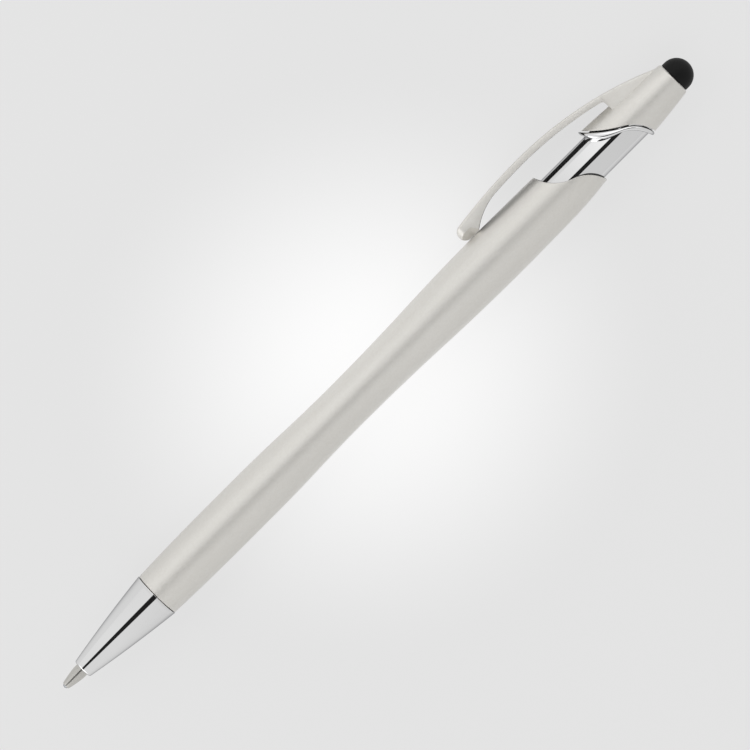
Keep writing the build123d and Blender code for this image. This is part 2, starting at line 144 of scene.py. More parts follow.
class RefillSizes(bpy.types.PropertyGroup):
    """Sizes of the writing ball, its point and the return spring."""

    ball_radius: length("Ball radius", "Radius of the writing ball", 0.5)
    ball_gap: length("Ball gap", "Gap between the ball and its seat", 0.015)
    lip: length("Lip", "Station of the lip that holds the ball", 0.36)
    lip_radius: length("Lip radius", "Outer radius of that lip", 0.63)
    taper_end: length("Taper end", "Station where the point turns straight", 3.26)
    taper_bulge: length("Taper bulge", "Height of the taper over a straight line", 0.05)
    point_radius: length("Point radius", "Radius of the point's shank", 1.15)
    point_back: length("Point back", "Station where the point enters its tube", 9.4)
    spigot_back: length("Spigot back", "Station of the point's end in the tube", 13.4)
    spigot_radius: length("Spigot radius", "Radius of the point in the tube", 0.93)
    channel_radius: length("Channel radius", "Radius of the ink channel", 0.55)
    feed_radius: length("Feed radius", "Radius of the hole behind the ball", 0.25)
    feed_back: length("Feed back", "Station where the feed hole ends", 1.5)
    edge_round: length("Edge round", "Rounding of the point's edges", 0.06)
    coil_front: length("Coil front", "Station where the wire's centre line starts", 11.695)
    coil_back: length("Coil back", "Station where the wire's centre line ends", 30.805)
    coil_radius: length("Coil radius", "Radius of the wire's centre line", 1.85)
    wire_radius: length("Wire radius", "Radius of the spring's wire", 0.175)
    coil_turns: bpy.props.IntProperty(name="Turns", description="Turns of the spring", default=9)


class BarrelSizes(bpy.types.PropertyGroup):
    """Sizes of the barrel, and of the wave that cuts its mouth, the trim ring and the cap."""

    front: length("Front", "Station of the barrel's front rim", 20.97)
    grip_start: length("Grip start", "Station where the straight grip starts", 35.97)
    grip_end: length("Grip end", "Station where the straight grip ends", 42.97)
    waist: length("Waist", "Station of the narrow waist", 63.37)
    head: length("Head", "Station of the thickest place", 98.47)
    shoulder: length("Shoulder", "Station where the back end draws in", 109.97)
    back: length("Back", "Station of the mouth's far end", 117.97)
    front_radius: length("Front radius", "Radius of the front rim", 4.015)
    grip_radius: length("Grip radius", "Radius of the grip", 4.3)
    waist_radius: length("Waist radius", "Radius of the waist", 3.9)
    head_radius: length("Head radius", "Radius of the thickest place", 4.68)
    shoulder_radius: length("Shoulder radius", "Radius of the shoulder", 4.55)
    mouth_radius: length("Mouth radius", "Radius at the mouth's far end", 3.9)
    bush_bore: length("Bush bore", "Radius of the bore for the threaded bush", 3.375)
    bush_back: length("Bush back", "Station where that bore ends", 27.47)
    bore: length("Bore", "Radius of the bore for the refill", 2.9)
    cam_shoulder: length("Cam shoulder", "Station where the slide's bore starts", 95.97)
    slide_bore: length("Slide bore", "Radius of the bore for the chrome tube", 3.46)
    edge_round: length("Edge round", "Rounding of the front rim and the mouth", 0.1)
    wave: length("Wave", "Station of the mouth on the clip's side", 109.97)
    wave_middle: length("Wave middle", "Station of the mouth's wave at the axis", 114.21)
    wave_height: length("Wave height", "Distance from the axis to the wave's ends", 4.2)
    wave_angle: turn("Wave angle", "Slope of the wave at its ends", 70)


class PlungerSizes(bpy.types.PropertyGroup):
    """Sizes of the chrome tube, the trim ring, the cap and the rubber tip."""

    tube_front: length("Tube front", "Station of the tube's front end", 101.97)
    tube_back: length("Tube back", "Station of the tube's back end", 129.43)
    tube_radius: length("Tube radius", "Outer radius of the tube", 3.4)
    tube_bore: length("Tube bore", "Inner radius of the tube", 2.9)
    seat: length("Seat", "Gap between pieces that are pressed together", 0.02)
    tube_round: length("Tube round", "Rounding of the tube's edges", 0.08)
    ring_wave: length("Ring wave", "Station of the ring's front on the clip's side", 119.92)
    ring_middle: length("Ring middle", "Station of the ring's front at the axis", 124.16)
    ring_bottom: length("Ring bottom", "Station of the ring's front on the far side", 127.92)
    ring_back_wave: length("Ring back", "Station of the ring's back on the clip's side", 120.32)
    ring_back_middle: length("Ring back middle", "Station of the ring's back at the axis", 125.66)
    ring_back_bottom: length("Ring back bottom", "Station of the ring's back on the far side", 128.52)
    ring_back_angle: turn("Ring back angle", "Slope of the ring's back at its ends", 47)
    ring_gap: length("Ring gap", "Gap between the ring and the cap", 0.25)
    ring_proud: length("Ring height", "Height of the ring over the cap's line", 0.16)
    ring_sink: length("Ring sink", "Depth of the ring's edges under the cap's line", 0.22)
    cap_still: length("Cap plain", "Station from which the cap is plain rings", 131.05)
    cap_start: length("Cap line start", "Station where the cap's line is set out", 118.92)
    cap_back: length("Cap back", "Station of the cap's back end", 136.65)
    cap_front_radius: length("Cap front radius", "Radius where the cap's line is set out", 4.45)
    cap_back_radius: length("Cap back radius", "Radius of the cap's back end", 3.0)
    cap_lead: turn("Cap lead", "Slope inwards at which the cap's line starts", 1.5)
    cap_round: length("Cap round", "Rounding of the cap's back edge", 0.35)
    rim_round: length("Rim round", "Rounding of the cap's wavy edge", 0.06)
    flange_front: length("Flange front", "Station where the holder's flange sits", 129.45)
    flange_back: length("Flange back", "Station where the holder's stem starts", 130.27)
    flange_bore: length("Flange bore", "Radius of the hole for the flange", 2.87)
    stem_bore: length("Stem bore", "Radius of the hole for the stem", 1.92)
    dome_base: length("Dome base", "Station of the rubber tip's base", 136.67)
    dome_centre: length("Dome centre", "Station of the dome's centre", 137.32)
    dome_radius: length("Dome radius", "Radius of the rubber dome", 2.73)
    dome_wall: length("Dome wall", "Thickness of the rubber", 0.7)
    dome_web: length("Dome web", "Station of the rubber base's inner face", 137.53)
    dome_hole: length("Dome hole", "Radius of the hole that snaps on the holder", 1.12)
    dome_round: length("Dome round", "Rounding of the rubber tip's base", 0.1)


class ClipSizes(bpy.types.PropertyGroup):
    """Sizes of the clip, moulded in one with the cap."""

    crown: length("Crown", "Station of the arch's highest place", 110.064)
    root: length("Root", "Station where the clip meets the cap", 126.234)
    fin: length("Fin", "Station where the clip's back sinks into the cap", 135.936)
    toe: length("Toe", "Station where the round foot starts", 95.96)
    sole_back: length("Sole back", "Station where the foot's flat sole ends", 97.842)
    flank: length("Flank", "Station where the foot's back meets the arch", 104.058)
    reach: length("Reach", "Height of the arch over the axis", 8.4)
    thickness: length("Thickness", "Thickness of the arch", 1.15)
    foot_top: length("Foot top", "Height of the foot's top over the axis", 7.4)
    foot_bottom: length("Foot bottom", "Height of the foot's sole over the axis", 4.71)
    flank_height: length("Flank height", "Height of the arch's underside at the flank", 7.068)
    root_height: length("Root height", "Height of the arch's top at the root", 6.35)
    slot_height: length("Slot height", "Height of the slot's roof at its end", 5.4)
    slot_round: length("Slot round", "Rounding of the slot's end", 0.6)
    fin_height: length("Fin height", "Height of the clip's back where it sinks in", 2.95)
    foot_width: length("Foot width", "Width of the clip at its foot", 3.8)
    root_width: length("Root width", "Width of the clip at its root", 5.0)
    tip_width: length("Tip width", "Width of the clip's back end", 0.6)
    edge_round: length("Edge round", "Rounding of the clip's outer edges", 0.4)
    inner_round: length("Inner round", "Rounding of the clip's inner edges", 0.1)
    plan_front: length("Plan front", "Station from which the clip widens", 93.65)
    overrun: length("Overrun", "Distance past the fin where the clip's plan ends", 1.0)
    toe_length: length("Toe length", "Length of the foot's end that is round in plan", 1.5)
    side_lean: turn("Side lean", "Lean of the clip's sides, narrower at the top", 6)
    lug_front: length("Lug front", "Station where the lug's ledge starts", 94.6)
    lug_crest: length("Lug crest", "Station where the ledge turns level", 95.9)
    lug_level: length("Lug level", "Station where the level ledge ends", 97.2)
    lug_back: length("Lug back", "Station where the lug ends", 98.15)
    ledge_start: length("Ledge start", "Height of the ledge at its front", 5.4)
    ledge_height: length("Ledge height", "Height of the level ledge", 6.0)
    lug_inset: length("Lug inset", "Step from the clip's side in to the lug", 0.2)
    lug_lean: turn("Lug lean", "Lean of the lug's sides, narrower at the sole", 42)
    root_cover: length("Root cover", "Wall between the clip's root and the bores", 0.3)
    # Painted shade: the black under the clip's arch ends at this station
    painted_shade_back: length("Painted shade back", "Station where the underside is lacquered again", 120.4)


class Finishes(bpy.types.PropertyGroup):
    """Colours of the pen's finishes."""

    pearl: colour("Pearl", "Lacquer of the barrel and the cap", "#E3E1DC")
    pearl_shade: colour("Pearl shade", "Darker cloud in that lacquer", "#DBD8D2")
    chrome: colour("Chrome", "Plating of the nose, the tube and the trim ring", "#EDEDED")
    chrome_edge: colour("Chrome edge", "Plating seen at a grazing angle", "#B4B4B6")
    nickel: colour("Nickel silver", "Metal of the writing point", "#CFCDC8")
    carbide: colour("Carbide", "Metal of the writing ball", "#A5A7AA")
    steel: colour("Spring steel", "Drawn wire of the spring", "#B9BABC")
    brass: colour("Brass", "Metal of the threaded bush", "#C9A663")
    # Painted shade: black for the shadow in the gaps at cut edges and for the shade under the clip's arch,
    # which chrome mirrors as a dark band
    painted_shade_colour: colour("Painted shade", "Plastic at cut edges and under the clip, without lacquer", "#101010")
    rubber: colour("Rubber", "Silicone of the touch-screen tip", "#0D0D0D")
    refill: colour("Refill", "Plastic of the ink tube", "#DCDDD8")
    ink: colour("Ink", "Ink in the tube", "#0E0E12")
    acetal: colour("Acetal", "Plastic of the cams", "#E9E7DF")
    carbon_abs: colour("Carbon ABS", "Conductive plastic of the holder", "#232324")


class StageSizes(bpy.types.PropertyGroup):
    """Camera, light and floor."""

    pen_length: length("Pen length", "Length of the pen, whose middle the camera faces", 140.05)
    aim_aside: length("Aim aside", "Distance of the aim from the pen's axis, to the clip", 0.17)
    distance: length("Camera distance", "Distance from the pen's middle to the camera", 1400.0)
    view_width: length("View width", "Width of the picture at the pen", 118.8)
    camera_lean: turn("Camera lean", "Lean of the view towards the rubber tip", 2.7)
    glow: colour("Glow", "Floor behind the pen", "#FDFDFD")
    floor: colour("Floor", "Floor away from the pen", "#DFDFDF")
    glow_radius: length("Glow radius", "Distance over which the floor fades", 50.0)
    glow_share: level("Glow share", "Strength of the floor's own glow", 0.92)
    card: colour("Card", "Matt card of the floor, which takes the shadow", "#5C5C5C")
    floor_reach: length("Floor reach", "Half the floor's width", 2500.0)
    softbox_width: length("Softbox width", "Width of the lamp's white front", 500.0)
    softbox_power: level("Softbox power", "Power of the lamp in watts", 1.2)
    softbox_height: length("Softbox height", "Distance of the lamp from the pen, to the camera", 550.0)
    softbox_aside: length("Softbox aside", "Distance of the lamp from the pen, to the clip", 412.5)
    softbox_ahead: length("Softbox ahead", "Distance of the lamp from the pen, to the writing tip", 192.5)
    flag_angle: turn("Flag", "Half angle of the black strip that chrome mirrors", 10)
    flag_light: level("Flag light", "Share of the tent's light that the black strip lets through", 0.02)
    clip_side: level("Clip side", "Tent on the clip's side, square to the pen", 0.74)
    cap_end: level("Cap end", "Tent on the clip's side, towards the cap", 1.25)
    far_side: level("Far side", "Tent on the side away from the clip", 0.69)
    tip_end: level("Tip end", "Light added towards the writing tip", 0.11)
    end_lamp: level("End lamp", "Light added at the end beyond the writing tip", 0.9)


# Frame of the pen: the plunger slides along it, the ball's axle points sideways, square to the clip
axes = {joint["name"]: np.array(joint["axis"], float) for joint in frame["joints"]}
ALONG, SIDEWAYS = axes["plunger_slide"], axes["ball_roll"]
CLIPWARD = np.cross(SIDEWAYS, ALONG)
TIP = np.mean([np.array(corner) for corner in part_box("plunger_tube")], axis=0)
TIP[0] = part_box("writing_ball")[0].x


def in_frame(station, clipward, sideways):
    """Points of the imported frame: the tip, plus each of the three distances along its direction."""
    station, clipward, sideways = np.broadcast_arrays(station, clipward, sideways)
    return TIP + station[..., None] * ALONG + clipward[..., None] * CLIPWARD + sideways[..., None] * SIDEWAYS


def tangent_arc(start, end, heading, count=ON_ARC):
    """Arc between two points that leaves along a heading, and the heading it ends with.

    At share u of the arc, the chord from the start has turned by u times the angle
    between heading and full chord, and its length goes with the sine of that turn.
    """
    start, end = np.array(start, float), np.array(end, float)
    chord = end - start
    first = np.arctan2(heading[1], heading[0])
    turn = (np.arctan2(chord[1], chord[0]) - first + np.pi) % (2 * np.pi) - np.pi
    share = np.linspace(0, 1, count)
    reach = np.hypot(*chord) * (np.sin(turn * share) / np.sin(turn) if abs(turn) > 1e-6 else share)
    way = first + turn * share
    points = start + reach[:, None] * np.stack((np.cos(way), np.sin(way)), axis=1)
    return points, (np.cos(first + 2 * turn), np.sin(first + 2 * turn))


def bulged(start, end, height, count=ON_ARC):
    """Arc between two points that stands a height off their chord.

    The arc leaves its chord at twice the angle whose tangent is the height over half the chord.
    """
    chord = np.array(end) - np.array(start)
    angle = np.arctan2(chord[1], chord[0]) + 2 * np.arctan(2 * height / np.hypot(*chord))
    return tangent_arc(start, end, (np.cos(angle), np.sin(angle)), count)[0]


def s_bend(start, end):
    """Two equal arcs that meet halfway, level at both ends."""
    middle = (np.array(start) + np.array(end)) / 2
    first = tangent_arc(start, middle, (1, 0))[0]
    second = tangent_arc(end, middle, (-1, 0))[0]
    return np.concatenate((first, second[-2::-1]))


def quarter(corner, radius, towards, count=ON_CORNER):
    """Quarter circle inside a corner of a profile: its centre lies one radius in from both sides.

    The first point is on the corner's station, the last on its radius; towards says
    on which side along the pen the material lies.
    """
    turn = np.linspace(0, np.pi / 2, count)
    station = corner[0] + towards * radius * (1 - np.cos(turn))
    return np.stack((station, corner[1] - radius * (1 - np.sin(turn))), axis=1)


def ball_line(centre, radius, turn):
    """Profile of a ball round a station on the axis: the cosine along the pen, the sine out from it."""
    return np.stack((centre + radius * np.cos(turn), radius * np.sin(turn)), axis=1)


def line_at(line, station):
    """Radius or height of a line at a station."""
    return np.interp(station, line[:, 0], line[:, 1])


def wave_line(stations, end_angle, gap=0.0):
    """Side view of a wavy cut through stations on the clip's side, the axis and the far side.

    Two arcs have one heading where they meet on the axis, and the line goes straight on
    beyond them. A gap moves it square to itself, away from the writing tip.
    """
    clip_side, on_axis, far_side = stations
    height = bpy.context.scene.pen_barrel.wave_height
    run = height / np.tan(end_angle)
    crest, heading = tangent_arc((clip_side, height), (on_axis, 0), (np.cos(end_angle), -np.sin(end_angle)))
    hollow = tangent_arc((on_axis, 0), (far_side, -height), heading)[0]
    ends = ([(clip_side - run, 2 * height)], [(far_side + run, -2 * height)])
    line = np.concatenate((ends[0], crest, hollow[1:], ends[1]))
    heading = np.gradient(line, axis=0)
    heading /= np.linalg.norm(heading, axis=1)[:, None]
    return line + gap * np.stack((-heading[:, 1], heading[:, 0]), axis=1)


def wave_station(line, clipward):
    """Station of a wavy cut at a height over the axis."""
    return np.interp(clipward, line[::-1, 1], line[::-1, 0])


def wave_edge(line, profile, angle):
    """Station where a turned profile meets a wave at each angle.

    It is the wave's station at the radius found there, worked out five times over.
    """
    edge = np.full(angle.shape, line[:, 0].mean())
    for _ in range(5):
        edge = wave_station(line, line_at(profile, edge) * np.cos(angle))
    return edge


def angles():
    """Angles round the pen, counted from the clip."""
    return np.linspace(0, 2 * np.pi, AROUND, endpoint=False)


def rings(angle, *blocks):
    """Grid of rings round the pen: each block gives stations and radii, in rows or also by the angle."""
    wide = [np.broadcast_arrays(*map(np.atleast_2d, block), angle)[:2] for block in blocks]
    station, radius = (np.concatenate(rows) for rows in zip(*wide))
    return in_frame(station, radius * np.cos(angle), radius * np.sin(angle))


def turned(profile):
    """Block of rings for a plain profile of stations and radii."""
    profile = np.array(profile, float)
    return profile[:, :1], profile[:, 1:]


def grid_mesh(name, points, closed, second=False):
    """Mesh of a grid of points whose rows are rings; the last row joins the first on a closed surface.

    Every four neighbours make a face. Rows drawn together to one point close as poles when
    doubles are merged. Faces that are true in second, a mask by row and column, take the
    piece's second finish.
    """
    rows, columns = points.shape[:2]
    row = np.arange(rows if closed else rows - 1)[:, None]
    column = np.arange(columns)[None, :]
    here, after, beside = row * columns, (row + 1) % rows * columns, (column + 1) % columns
    faces = np.stack((here + column, here + beside, after + beside, after + column), axis=-1).reshape(-1, 4)
    mesh = bpy.data.meshes.new(name)
    mesh.from_pydata(points.reshape(-1, 3).tolist(), [], faces.tolist())
    finish = np.broadcast_to(second, (len(row), columns)).astype(np.int32)
    mesh.polygons.foreach_set("material_index", finish.ravel())
    tidy = bmesh.new()
    tidy.from_mesh(mesh)
    bmesh.ops.remove_doubles(tidy, verts=tidy.verts, dist=1e-7)
    bmesh.ops.dissolve_degenerate(tidy, edges=tidy.edges, dist=1e-8)
    bmesh.ops.recalc_face_normals(tidy, faces=tidy.faces)
    tidy.to_mesh(mesh)
    tidy.free()
    return mesh


def place(name, meshes, materials, body, slot, node):
    """Object of one or more meshes in place of a solid; it rides a body where one is given."""
    whole = bmesh.new()
    for mesh in meshes:
        whole.from_mesh(mesh)
    piece_mesh = bpy.data.meshes.new(name)
    whole.to_mesh(piece_mesh)
    whole.free()
    piece_mesh.shade_smooth()
    piece_mesh.set_sharp_from_angle(angle=CREASE)
    for material in materials:
        piece_mesh.materials.append(material)
    piece = bpy.data.objects.new(name, piece_mesh)
    bpy.context.scene.collection.objects.link(piece)
    if body:
        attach(piece, body)
    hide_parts(node)
    for mesh in meshes:
        bpy.data.meshes.remove(mesh)
    return piece


def add_node(tree, kind, feeds=None, **settings):
    """Adds a node: settings are its own fields, feeds the values or the links of its sockets."""
    made = tree.nodes.new(kind)
    for field, value in settings.items():
        setattr(made, field, value)
    for socket, value in (feeds or {}).items():
        if isinstance(value, bpy.types.NodeSocket):
            tree.links.new(value, made.inputs[socket])
        else:
            made.inputs[socket].default_value = value
    return made


def new_finish(name):
    """Empty material with its node tree and the Object coordinates that its patterns read."""
    material = bpy.data.materials.get(name) or bpy.data.materials.new(name)
    material.use_nodes = True
    tree = material.node_tree
    tree.nodes.clear()
    return material, tree, add_node(tree, "ShaderNodeTexCoord").outputs["Object"]


def show(tree, shader):
    """Leads a shader to the material's output."""
    add_node(tree, "ShaderNodeOutputMaterial", {"Surface": shader.outputs[0]})


def rgba(tint, share=1.0):
    """Share of a colour's light, with a full alpha."""
    return (*(share * part for part in tint), 1.0)


def pearl_lacquer():
    """Pearl lacquer sprayed on moulded ABS.

    It gives a warm off-white whose mica lies along the pen, under a satin clear coat.
    """
    paints = bpy.context.scene.pen_finishes
    material, tree, spot = new_finish("pearl_lacquer_on_moulded_abs")
    # Mica drifts in soft streaks along the pen
    streak_length, streak_width = 25 * MM, 1.5 * MM
    streaks = (1 / streak_length, 1 / streak_width, 1 / streak_width)
    stretch = add_node(tree, "ShaderNodeMapping", {"Vector": spot, "Scale": streaks})
    drift = add_node(tree, "ShaderNodeTexNoise", {"Vector": stretch.outputs[0], "Scale": 1.0, "Detail": 2.0})
    # Single flakes are some 0.05 mm; they are drawn coarser, because such fine ones vanish in the render
    flake = 0.3 * MM
    flakes = add_node(tree, "ShaderNodeTexVoronoi", {"Vector": spot, "Scale": 1 / flake})
    glint = add_node(tree, "ShaderNodeSeparateColor", {"Color": flakes.outputs["Color"]})
    streak = add_node(
        tree, "ShaderNodeMath", {0: drift.outputs[0], 1: 0.75, 2: -0.2}, operation="MULTIPLY_ADD"
    )
    speck = add_node(
        tree,
        "ShaderNodeMath",
        {0: glint.outputs[0], 1: 0.35, 2: streak.outputs[0]},
        operation="MULTIPLY_ADD",
    )
    tone = add_node(
        tree,
        "ShaderNodeMix",
        {0: speck.outputs[0], 6: rgba(paints.pearl), 7: rgba(paints.pearl_shade)},
        data_type="RGBA",
    )
    satin = add_node(tree, "ShaderNodeMapRange", {0: glint.outputs[1], 3: 0.43, 4: 0.51})
    ripple = add_node(
        tree, "ShaderNodeBump", {"Strength": 0.05, "Distance": RELIEF, "Height": glint.outputs[2]}
    )
    shader = add_node(
        tree,
        "ShaderNodeBsdfPrincipled",
        {
            "Base Color": tone.outputs[2],
            "Metallic": 0.65,
            "Roughness": satin.outputs[0],
            "Normal": ripple.outputs[0],
            "Coat Weight": 0.3,
            "Coat Roughness": 0.12,
        },
    )
    show(tree, shader)
    return material


def chrome_plate():
    """Bright chrome plate on brass: a near mirror, with a faint haze where hands have been."""
    paints = bpy.context.scene.pen_finishes
    material, tree, spot = new_finish("bright_chrome_plate")
    cloud = 9 * MM
    haze = add_node(tree, "ShaderNodeTexNoise", {"Vector": spot, "Scale": 1 / cloud, "Detail": 2.0})
    gloss = add_node(tree, "ShaderNodeMapRange", {0: haze.outputs[0], 1: 0.3, 2: 0.7, 3: 0.03, 4: 0.055})
    tint = add_node(
        tree,
        "ShaderNodeMix",
        {0: haze.outputs[0], 6: rgba(paints.chrome), 7: rgba(paints.chrome, 0.96)},
        data_type="RGBA",
    )
    shader = add_node(
        tree,
        "ShaderNodeBsdfPrincipled",
        {
            "Base Color": tint.outputs[2],
            "Metallic": 1.0,
            "Roughness": gloss.outputs[0],
            "Specular Tint": rgba(paints.chrome_edge),
        },
    )
    show(tree, shader)
    return material


def turned_metal(name, tint, roughness, pitch):
    """Bare turned or drawn metal: rings left by the tool across the pen, and a little stain between them.

    The rings are a wave along the pen with the tool's pitch.
    """
    material, tree, spot = new_finish(name)
    # At a scale of 1, the wave's bands lie this far apart
    band = 0.314
    patch = 1.2 * MM
    grooves = add_node(
        tree,
        "ShaderNodeTexWave",
        {"Vector": spot, "Scale": band / pitch, "Distortion": 0.6, "Detail": 1.0},
        bands_direction="X",
    )
    stain = add_node(tree, "ShaderNodeTexNoise", {"Vector": spot, "Scale": 1 / patch, "Detail": 3.0})
    tone = add_node(
        tree,
        "ShaderNodeMix",
        {0: stain.outputs[0], 6: rgba(tint), 7: rgba(tint, 0.9)},
        data_type="RGBA",
    )
    gloss = add_node(tree, "ShaderNodeMapRange", {0: grooves.outputs[1], 3: roughness, 4: roughness + 0.12})
    cut = add_node(
        tree, "ShaderNodeBump", {"Strength": 0.05, "Distance": RELIEF, "Height": grooves.outputs[1]}
    )
    shader = add_node(
        tree,
        "ShaderNodeBsdfPrincipled",
        {
            "Base Color": tone.outputs[2],
            "Metallic": 1.0,
            "Roughness": gloss.outputs[0],
            "Normal": cut.outputs[0],
        },
    )
    show(tree, shader)
    return material


def painted_shade_finish():
    """Painted shade: a dull black finish on cut edges and under the clip, which gives dark shadow lines at
    the edges and a dark band where chrome mirrors it.
    """
    painted_shade_colour = bpy.context.scene.pen_finishes.painted_shade_colour
    return moulded_plastic("painted_shade_black", painted_shade_colour, roughness=0.5, grain=0.15 * MM)


def moulded_plastic(name, tint, roughness, grain, coat=0.0, shine=0.5):
    """Moulded plastic or rubber: even colour with faint flow clouds, and a fine grain from the mould."""
    material, tree, spot = new_finish(name)
    flow = 4 * MM
    cloud = add_node(tree, "ShaderNodeTexNoise", {"Vector": spot, "Scale": 1 / flow, "Detail": 2.0})
    tone = add_node(
        tree,
        "ShaderNodeMix",
        {0: cloud.outputs[0], 6: rgba(tint), 7: rgba(tint, 0.82)},
        data_type="RGBA",
    )
    pits = add_node(tree, "ShaderNodeTexNoise", {"Vector": spot, "Scale": 1 / grain, "Detail": 2.0})
    spread = 0.08
    matt = add_node(
        tree, "ShaderNodeMapRange", {0: pits.outputs[0], 3: roughness - spread, 4: roughness + spread}
    )
    skin = add_node(
        tree, "ShaderNodeBump", {"Strength": 0.15, "Distance": RELIEF, "Height": pits.outputs[0]}
    )
    shader = add_node(
        tree,
        "ShaderNodeBsdfPrincipled",
        {
            "Base Color": tone.outputs[2],
            "Roughness": matt.outputs[0],
            "Normal": skin.outputs[0],
            "Specular IOR Level": shine,
            "Coat Weight": coat,
            "Coat Roughness": 0.1,
        },
    )
    show(tree, shader)
    return material


class PEN_OT_barrel(bpy.types.Operator):
    """Waisted barrel, bored from both ends, with its wavy mouth."""

    bl_idname = "pen.barrel"
    bl_label = "Barrel"

    def execute(self, context):
        """A turned profile whose last rows slide along the pen to where the wave cuts it."""
        sizes = context.scene.pen_barrel
        angle = angles()
        profile = self.outside(sizes)
        soft = sizes.edge_round
        wave = wave_line((sizes.wave, sizes.wave_middle, sizes.back), sizes.wave_angle)
        edge = wave_edge(wave, profile, angle)
        slide = (sizes.head + sizes.shoulder) / 2
        still = profile[(profile[:, 0] > sizes.front + soft) & (profile[:, 0] < slide)]
        sliding = slide + (edge - soft - slide) * np.linspace(0, 1, TO_WAVE)[:, None]
        turn = np.linspace(0, np.pi / 2, ON_CORNER)[1:, None]
        lip = wave_station(wave, sizes.slide_bore * np.cos(angle))
        bore = [
            (slide, sizes.slide_bore),
            (sizes.cam_shoulder, sizes.slide_bore),
            (sizes.cam_shoulder, sizes.bore),
            (sizes.bush_back, sizes.bore),
            (sizes.bush_back, sizes.bush_bore),
            (sizes.front, sizes.bush_bore),
        ]
        points = rings(
            angle,
            turned(quarter((sizes.front, sizes.front_radius), soft, 1)),
            turned(still),
            (sliding, line_at(profile, sliding)),
            (edge - soft + soft * np.sin(turn), line_at(profile, edge - soft) - soft * (1 - np.cos(turn))),
            (lip, sizes.slide_bore),
            turned(bore),
        )
        # The cut faces at the mouth and at the front rim are painted black as shade, for the dark gap lines
        # there
        mouth_row = len(points) - len(bore) - 2
        painted_shade_faces = np.isin(np.arange(len(points)), (mouth_row, len(points) - 1))[:, None]
        mesh = grid_mesh("barrel_skin", points, True, painted_shade_faces)
        place("barrel_shell", [mesh], [pearl_lacquer(), painted_shade_finish()], "barrel", "pearl_lacquer", "barrel")
        return {"FINISHED"}

    def outside(self, sizes):
        """Profile of the outside: arcs from the front rim over grip, waist and head to the mouth."""
        grip_start = (sizes.grip_start, sizes.grip_radius)
        grip_end = (sizes.grip_end, sizes.grip_radius)
        waist = (sizes.waist, sizes.waist_radius)
        head = (sizes.head, sizes.head_radius)
        shoulder = (sizes.shoulder, sizes.shoulder_radius)
        lead = tangent_arc(grip_start, (sizes.front, sizes.front_radius), (-1, 0))[0][::-1]
        brow, heading = tangent_arc(head, shoulder, (1, 0))
        mouth = tangent_arc(shoulder, (sizes.back, sizes.mouth_radius), heading)[0]
        return np.concatenate((lead, s_bend(grip_end, waist), s_bend(waist, head)[1:], brow[1:], mouth[1:]))


class PEN_OT_nose(bpy.types.Operator):
    """Chrome nose cone with its throat, spring chamber and screw spigot."""

    bl_idname = "pen.nose"
    bl_label = "Nose cone"

    def execute(self, context):
        """A turned profile with a thread on its spigot.

        There the radius falls and rises with the station in pitches less the share of a turn,
        and the first pitch runs in from nothing.
        """
        sizes = context.scene.pen_nose
        angle = angles()
        side = bulged((sizes.front, sizes.end_radius), (sizes.back, sizes.back_radius), sizes.bulge)
        soft, rim = sizes.end_round, sizes.rim_round
        start_radius = line_at(side, sizes.front + soft)
        cone = side[(side[:, 0] > sizes.front + soft) & (side[:, 0] < sizes.back - rim)]
        hole = [
            (sizes.spigot_back, sizes.chamber_radius),
            (sizes.chamber_front, sizes.chamber_radius),
            (sizes.chamber_front, sizes.room_radius),
            (sizes.throat_back, sizes.room_radius),
            (sizes.throat_back, sizes.throat_radius),
            (sizes.front, sizes.throat_radius),
        ]
        run = np.linspace(sizes.back, sizes.spigot_back, 72)[:, None]
        valley = ((1 + np.cos(2 * np.pi * run / sizes.thread_pitch - angle)) / 2) ** FULLER
        fade = np.clip((run - sizes.back) / sizes.thread_pitch, 0, 1)
        points = rings(
            angle,
            turned(quarter((sizes.front, start_radius), soft, 1)),
            turned(cone),
            turned(quarter((sizes.back, sizes.back_radius), rim, -1)[::-1]),
            (run, sizes.spigot_radius - sizes.thread_depth * valley * fade),
            turned(hole),
        )
        mesh = grid_mesh("nose_skin", points, True)
        place("nose_shell", [mesh], [chrome_plate()], "nose", "chrome_plate", "nose_cone")
        return {"FINISHED"}


